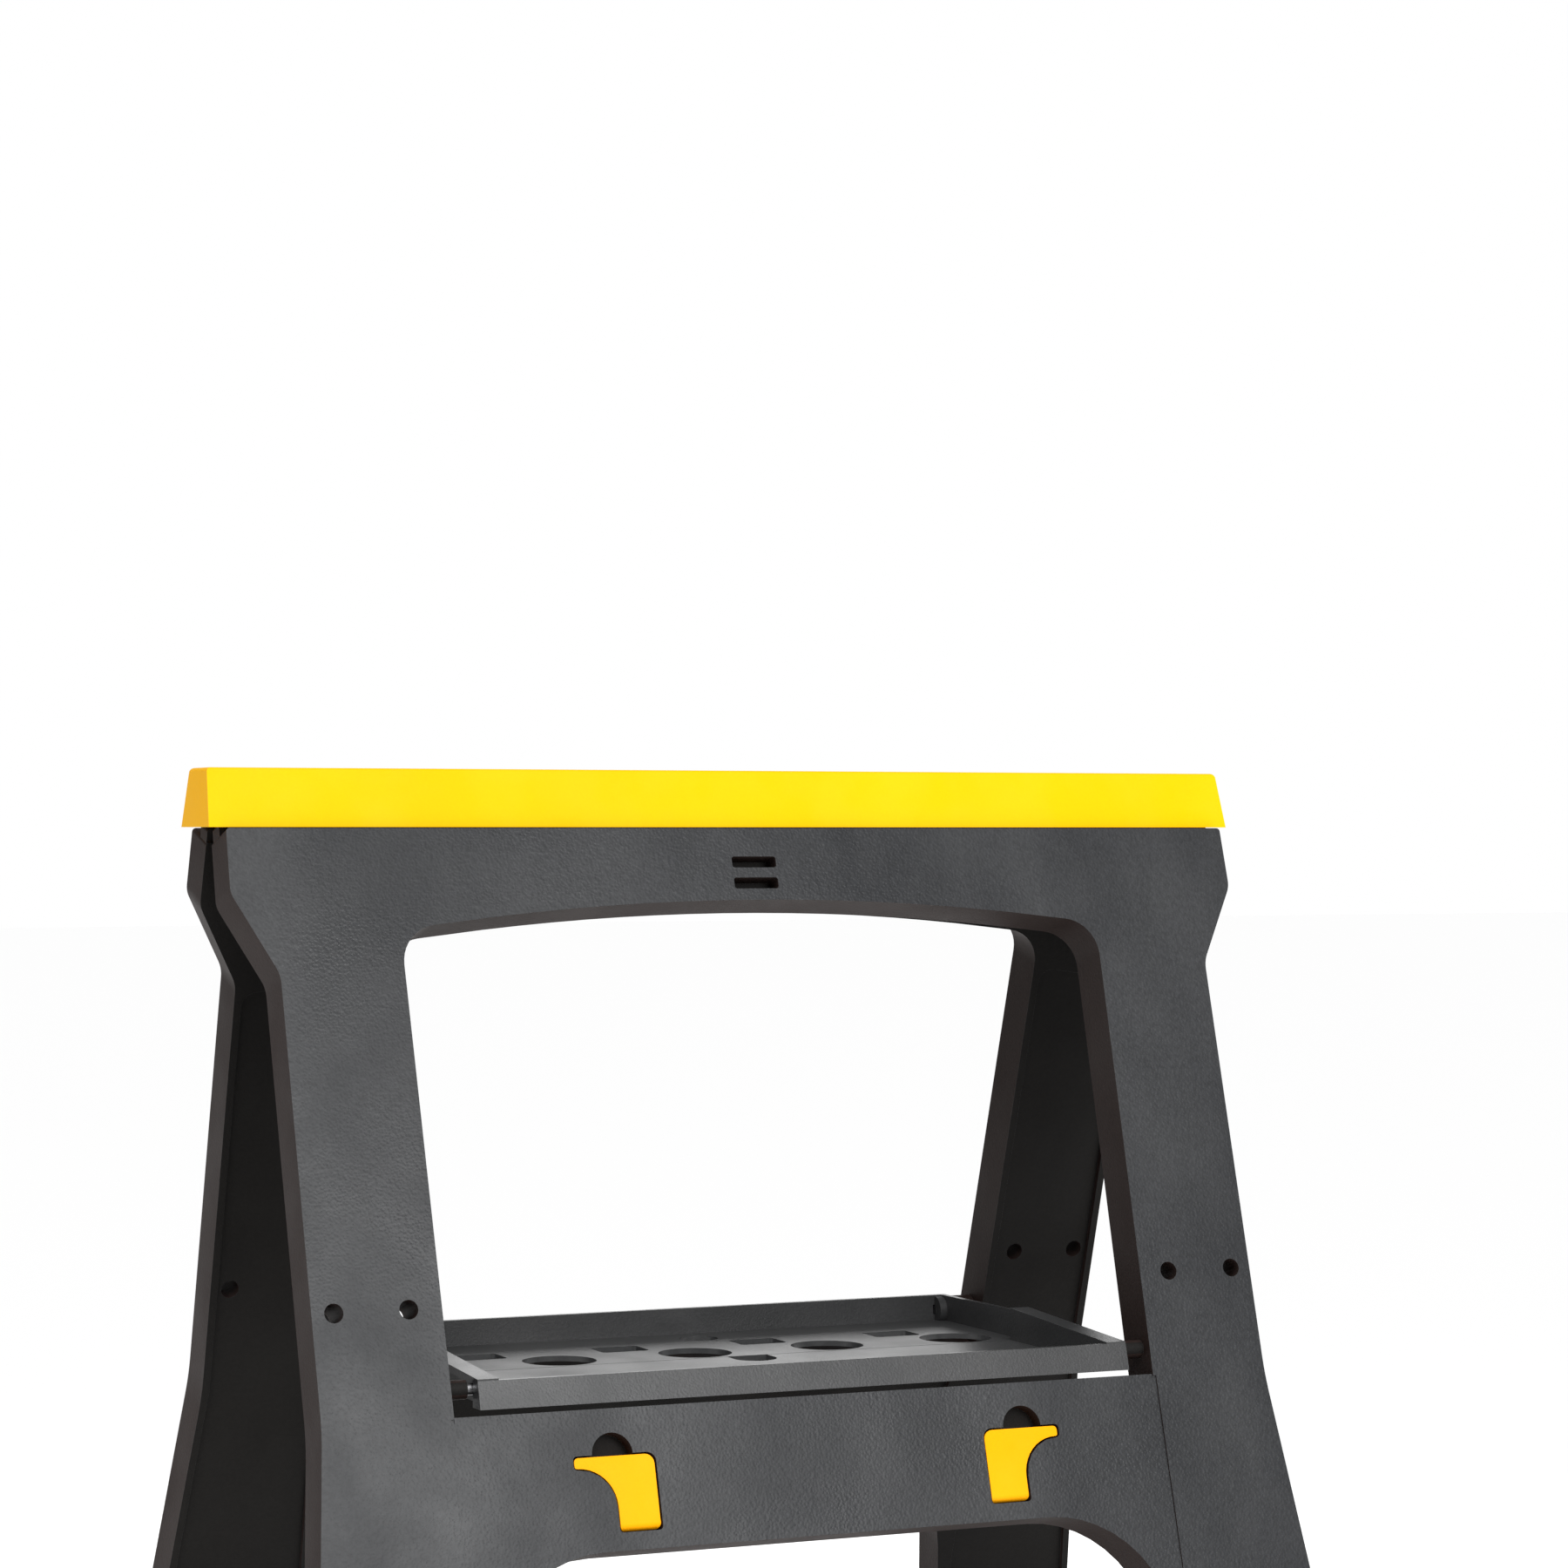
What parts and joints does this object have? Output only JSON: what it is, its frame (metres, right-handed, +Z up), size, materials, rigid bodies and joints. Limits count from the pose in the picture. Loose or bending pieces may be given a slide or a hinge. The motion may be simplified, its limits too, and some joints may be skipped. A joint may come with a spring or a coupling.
{
  "type": "folding sawhorse",
  "caption": "Folding sawhorse with a long yellow top on two hinged leg frames, a folding tool shelf with round holes and slots between them, and flush cord hooks on the front beam.",
  "frame": {"origin": "centre of the footprint on the floor, standing open", "axes": "+X along the top, -Y towards the front frame with the cord hooks, +Z up"},
  "size_m": [0.6372, 0.524, 0.81],
  "materials": {
    "top": "satin moulded yellow",
    "hooks": "satin moulded yellow",
    "frames": "fine grained moulded graphite",
    "shelf": "fine grained moulded grey",
    "steel": "plain turned",
    "feet": "matt"
  },
  "bodies": {
    "top": {"top_cap": "top", "hinge_rod": "steel", "rod_clip_left": "steel", "rod_clip_right": "steel"},
    "front_legs": {"front_frame": "frames", "front_foot_left": "feet", "front_foot_right": "feet", "latch_pin_left": "steel", "latch_pin_right": "steel"},
    "left_hook": {"cord_hook_left": "hooks"},
    "right_hook": {"cord_hook_right": "hooks"},
    "rear_legs": {"rear_frame": "frames", "rear_foot_left": "feet", "rear_foot_right": "feet", "shelf_pivot_left": "steel", "shelf_pivot_right": "steel"},
    "rear_leaf": {"shelf_rear_leaf": "shelf", "seam_pin_left": "steel", "seam_pin_right": "steel"},
    "front_leaf": {"shelf_front_leaf": "shelf"}
  },
  "joints": [
    {"name": "front_fold", "type": "hinge", "parent": "top", "child": "front_legs", "pos_m": [0, 0, 0.786], "axis": [1, 0, 0], "range_deg": [0, 16.5]},
    {"name": "rear_fold", "type": "hinge", "parent": "top", "child": "rear_legs", "pos_m": [0, 0, 0.786], "axis": [1, 0, 0], "range_deg": [-16.5, 0]},
    {"name": "shelf_lift", "type": "hinge", "parent": "rear_legs", "child": "rear_leaf", "pos_m": [0, 0.1033, 0.4936], "axis": [1, 0, 0], "range_deg": [-71.44, 0]},
    {"name": "shelf_seam", "type": "hinge", "parent": "rear_leaf", "child": "front_leaf", "pos_m": [0, 0, 0.4813], "axis": [1, 0, 0], "range_deg": [0, 175.88]},
    {"name": "left_hook_swing", "type": "hinge", "parent": "front_legs", "child": "left_hook", "pos_m": [0, -0.13079, 0.42404], "axis": [1, 0, 0], "range_deg": [0, 90]},
    {"name": "right_hook_swing", "type": "hinge", "parent": "front_legs", "child": "right_hook", "pos_m": [0, -0.13079, 0.42404], "axis": [1, 0, 0], "range_deg": [0, 90]}
  ],
  "couplings": [
    {"joint": "rear_fold", "follows": "front_fold", "ratio": -1},
    {"joint": "shelf_lift", "follows": "front_fold", "ratio": -4.3298},
    {"joint": "shelf_seam", "follows": "front_fold", "ratio": 10.66}
  ]
}
